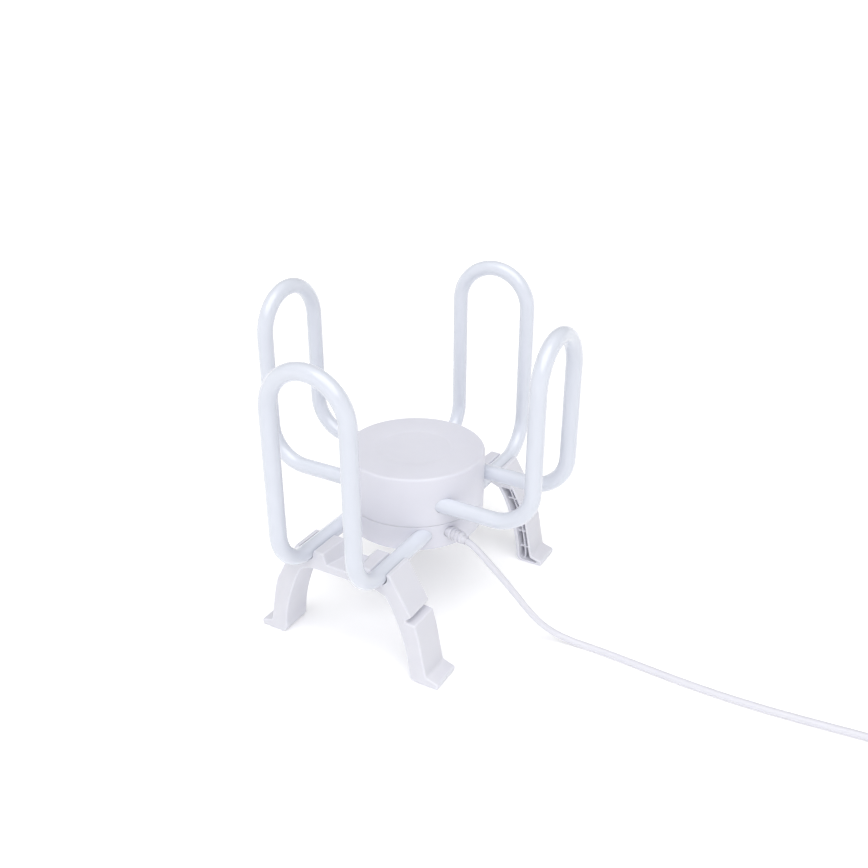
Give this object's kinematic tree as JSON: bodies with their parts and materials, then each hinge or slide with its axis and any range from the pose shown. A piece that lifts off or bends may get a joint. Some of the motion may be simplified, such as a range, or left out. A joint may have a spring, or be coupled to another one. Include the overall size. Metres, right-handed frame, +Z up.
{
  "type": "boot dryer",
  "caption": "Electric boot dryer: a round drum on splayed legs with upright heated tube loops that boots and shoes hang on; the upper loops turn to nest inside the lower ones.",
  "frame": {"origin": "on the floor, under the drum's axis", "axes": "+Z up along the drum's axis; +Y along the lower pair of loops, towards the rear; +X along the upper pair of loops as unfolded, towards the right"},
  "size_m": [0.611, 0.2946, 0.2635],
  "materials": {
    "shell_plastic": "satin moulded white",
    "bracket_plastic": "matte moulded white",
    "white_enamel": "glossy white powder coat",
    "cord_plastic": "satin white PVC",
    "inner_plastic": "matte",
    "cable_sheath": "silicone rubber",
    "steel": "zinc plated",
    "brass": "nickel-free bright brass"
  },
  "bodies": {
    "base": {"axis_lead": "cord_plastic", "clamp_screw_1": "steel", "clamp_screw_2": "steel", "cord_clamp": "inner_plastic", "cord_coil": "cord_plastic", "cord_tail": "cord_plastic", "deck_screw_1": "steel", "deck_screw_2": "steel", "deck_screw_3": "steel", "deck_screw_4": "steel", "front_heating_cable": "cable_sheath", "front_leg_bracket": "bracket_plastic", "front_loop": "white_enamel", "left_plug_pin": "brass", "lower_deck": "shell_plastic", "lower_shell": "shell_plastic", "lower_terminal_block": "inner_plastic", "mains_cord": "cord_plastic", "plug_body": "cord_plastic", "rear_heating_cable": "cable_sheath", "rear_leg_bracket": "bracket_plastic", "rear_loop": "white_enamel", "right_plug_pin": "brass", "strain_relief": "cord_plastic", "supply_lead": "cord_plastic", "thermal_cutoff": "steel", "wave_washer": "steel"},
    "turret": {"base_screw_1": "steel", "base_screw_2": "steel", "base_screw_3": "steel", "base_screw_4": "steel", "left_clamp_screw_1": "steel", "left_clamp_screw_2": "steel", "left_heating_cable": "cable_sheath", "left_loop": "white_enamel", "left_tube_clamp": "inner_plastic", "retaining_ring": "inner_plastic", "right_clamp_screw_1": "steel", "right_clamp_screw_2": "steel", "right_heating_cable": "cable_sheath", "right_loop": "white_enamel", "right_tube_clamp": "inner_plastic", "ring_screw_1": "steel", "ring_screw_2": "steel", "ring_screw_3": "steel", "upper_base": "inner_plastic", "upper_shell": "shell_plastic", "upper_terminal_block": "inner_plastic"}
  },
  "joints": [
    {"name": "fold", "type": "hinge", "parent": "base", "child": "turret", "pos_m": [0, 0, 0.0965], "axis": [0, 0, 1], "range_deg": [0, 90]}
  ]
}
